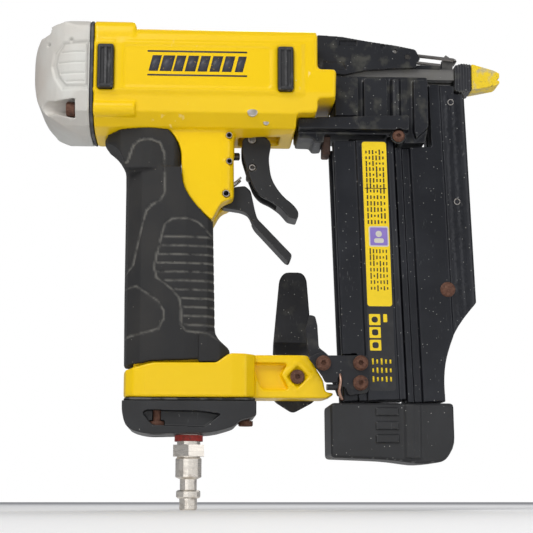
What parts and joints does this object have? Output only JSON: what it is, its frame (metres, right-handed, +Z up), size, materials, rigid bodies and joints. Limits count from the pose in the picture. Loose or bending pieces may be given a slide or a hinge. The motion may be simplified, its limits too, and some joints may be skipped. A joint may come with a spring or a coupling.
{
  "type": "pin nailer",
  "caption": "Air-driven pin nailer with a slim rubber grip, dual trigger, side magazine that slides open and a non-marring tip.",
  "frame": {"origin": "middle of the whole tool, on its mid-plane", "axes": "+X the way pins are driven, +Z up from the air plug to the barrel, -Y the tool's left side"},
  "size_m": [0.225, 0.06, 0.2296],
  "materials": {
    "yellow_paint": "satin enamel on cast magnesium, small chips",
    "silver_paint": "fine textured silver paint",
    "grip_rubber": "matt overmould with shallow grooves",
    "seal_rubber": "smooth moulded rubber",
    "black_plastic": "moulded, dusty and scuffed",
    "black_aluminium": "black anodised, scratched",
    "steel": "worn plated steel",
    "rusty_steel": "rusted socket screws",
    "spring_steel": "drawn wire",
    "aluminium": "machined",
    "red_sealant": "thread sealant",
    "tip_plastic": "worn non-marring tip"
  },
  "bodies": {
    "housing": {"housing": "yellow_paint", "grip": "grip_rubber", "rear_cap": "silver_paint", "cap_gasket": "seal_rubber", "base_gasket": "seal_rubber", "base_cap": "black_plastic", "air_plug": "steel", "thread_seal": "red_sealant", "lever_pin": "steel", "lever_spring": "spring_steel", "valve_bushing": "aluminium", "valve_spring": "spring_steel", "valve_pin_upper": "steel", "valve_pin_lower": "steel", "cylinder_sleeve": "aluminium", "drive_bumper": "seal_rubber", "head_valve_spring": "spring_steel", "nose_frame": "black_aluminium", "nose_screw_left": "rusty_steel", "nose_screw_right": "rusty_steel", "driver_guide": "black_aluminium", "door_pin": "steel", "nose_collar": "black_aluminium", "no_mar_tip": "tip_plastic", "magazine_body": "black_aluminium", "pusher_spring": "spring_steel", "latch_bracket": "steel", "belt_hook": "black_plastic", "hook_screw": "steel", "cap_screw_1": "rusty_steel", "cap_screw_2": "rusty_steel", "cap_screw_3": "rusty_steel", "cap_screw_4": "rusty_steel", "base_screw_1": "rusty_steel", "base_screw_2": "rusty_steel", "base_screw_3": "rusty_steel", "bracket_screw_a": "rusty_steel", "bracket_screw_b": "rusty_steel", "bracket_screw_c": "rusty_steel", "rear_pad_left": "seal_rubber", "rear_pad_right": "seal_rubber", "front_pad_left": "seal_rubber", "front_pad_right": "seal_rubber"},
    "trigger": {"trigger": "black_plastic", "trigger_pin": "steel", "link_pin": "steel"},
    "trigger_link": {"trigger_link": "steel"},
    "safety_lever": {"safety_lever": "black_plastic"},
    "valve_stem": {"valve_stem": "steel"},
    "piston": {"piston": "aluminium", "driver_blade": "spring_steel"},
    "head_valve": {"head_valve": "aluminium"},
    "nose_door": {"nose_door": "black_aluminium"},
    "jam_lever": {"jam_lever": "black_plastic", "jam_lever_pin": "steel"},
    "bail": {"bail_wire": "spring_steel"},
    "magazine_slide": {"magazine_rail": "black_aluminium", "end_cap": "black_plastic"},
    "pusher": {"pusher": "steel"},
    "latch_lever": {"latch_lever": "steel"}
  },
  "joints": [
    {"name": "trigger_hinge", "type": "hinge", "parent": "housing", "child": "trigger", "pos_m": [-0.0083, 0, 0.06], "axis": [0, 1, 0], "range_deg": [0, 10], "stiffness_Nm_per_rad": 0.6, "springref_deg": -11.46},
    {"name": "trigger_link_hinge", "type": "hinge", "parent": "trigger", "child": "trigger_link", "pos_m": [-0.0082, 0, 0.0463], "axis": [0, 1, 0], "range_deg": [-7, 0]},
    {"name": "safety_lever_hinge", "type": "hinge", "parent": "housing", "child": "safety_lever", "pos_m": [-0.0208, 0, 0.0314], "axis": [0, 1, 0], "range_deg": [0, 14], "stiffness_Nm_per_rad": 0.25, "springref_deg": -14.32, "deforming": ["lever_spring"]},
    {"name": "valve_stem_slide", "type": "slide", "parent": "housing", "child": "valve_stem", "axis": [-1, 0, 0], "range_m": [0, 0.0026], "deforming": ["valve_spring"]},
    {"name": "drive_stroke", "type": "slide", "parent": "housing", "child": "piston", "axis": [1, 0, 0], "range_m": [0, 0.066]},
    {"name": "head_valve_slide", "type": "slide", "parent": "housing", "child": "head_valve", "axis": [-1, 0, 0], "range_m": [0, 0.004], "stiffness_N_per_m": 1500, "springref_m": -0.004, "deforming": ["head_valve_spring"]},
    {"name": "nose_door_hinge", "type": "hinge", "parent": "housing", "child": "nose_door", "pos_m": [0.032, 0, 0.0991], "axis": [0, 1, 0], "range_deg": [-26, 0]},
    {"name": "jam_lever_hinge", "type": "hinge", "parent": "nose_door", "child": "jam_lever", "pos_m": [0.067, 0, 0.1019], "axis": [0, 1, 0], "range_deg": [0, 75]},
    {"name": "bail_hinge", "type": "hinge", "parent": "jam_lever", "child": "bail", "pos_m": [0.061, 0, 0.1047], "axis": [0, 1, 0], "range_deg": [-76, 0]},
    {"name": "magazine_slide", "type": "slide", "parent": "housing", "child": "magazine_slide", "axis": [0.0349, 0, -0.9994], "range_m": [0, 0.1]},
    {"name": "pusher_slide", "type": "slide", "parent": "housing", "child": "pusher", "axis": [-0.0349, 0, 0.9994], "range_m": [0, 0.07], "deforming": ["pusher_spring"]},
    {"name": "latch_lever_hinge", "type": "hinge", "parent": "housing", "child": "latch_lever", "pos_m": [0.0245, -0.0115, -0.0478], "axis": [0, 1, 0], "range_deg": [0, 8], "stiffness_Nm_per_rad": 0.3, "springref_deg": -11.46}
  ],
  "couplings": [
    {"joint": "trigger_link_hinge", "follows": "trigger_hinge", "ratio": -0.6},
    {"joint": "valve_stem_slide", "follows": "trigger_hinge", "m_per_rad": 0.0135},
    {"joint": "nose_door_hinge", "follows": "jam_lever_hinge", "ratio": -0.3333},
    {"joint": "bail_hinge", "follows": "jam_lever_hinge", "ratio": -1}
  ]
}
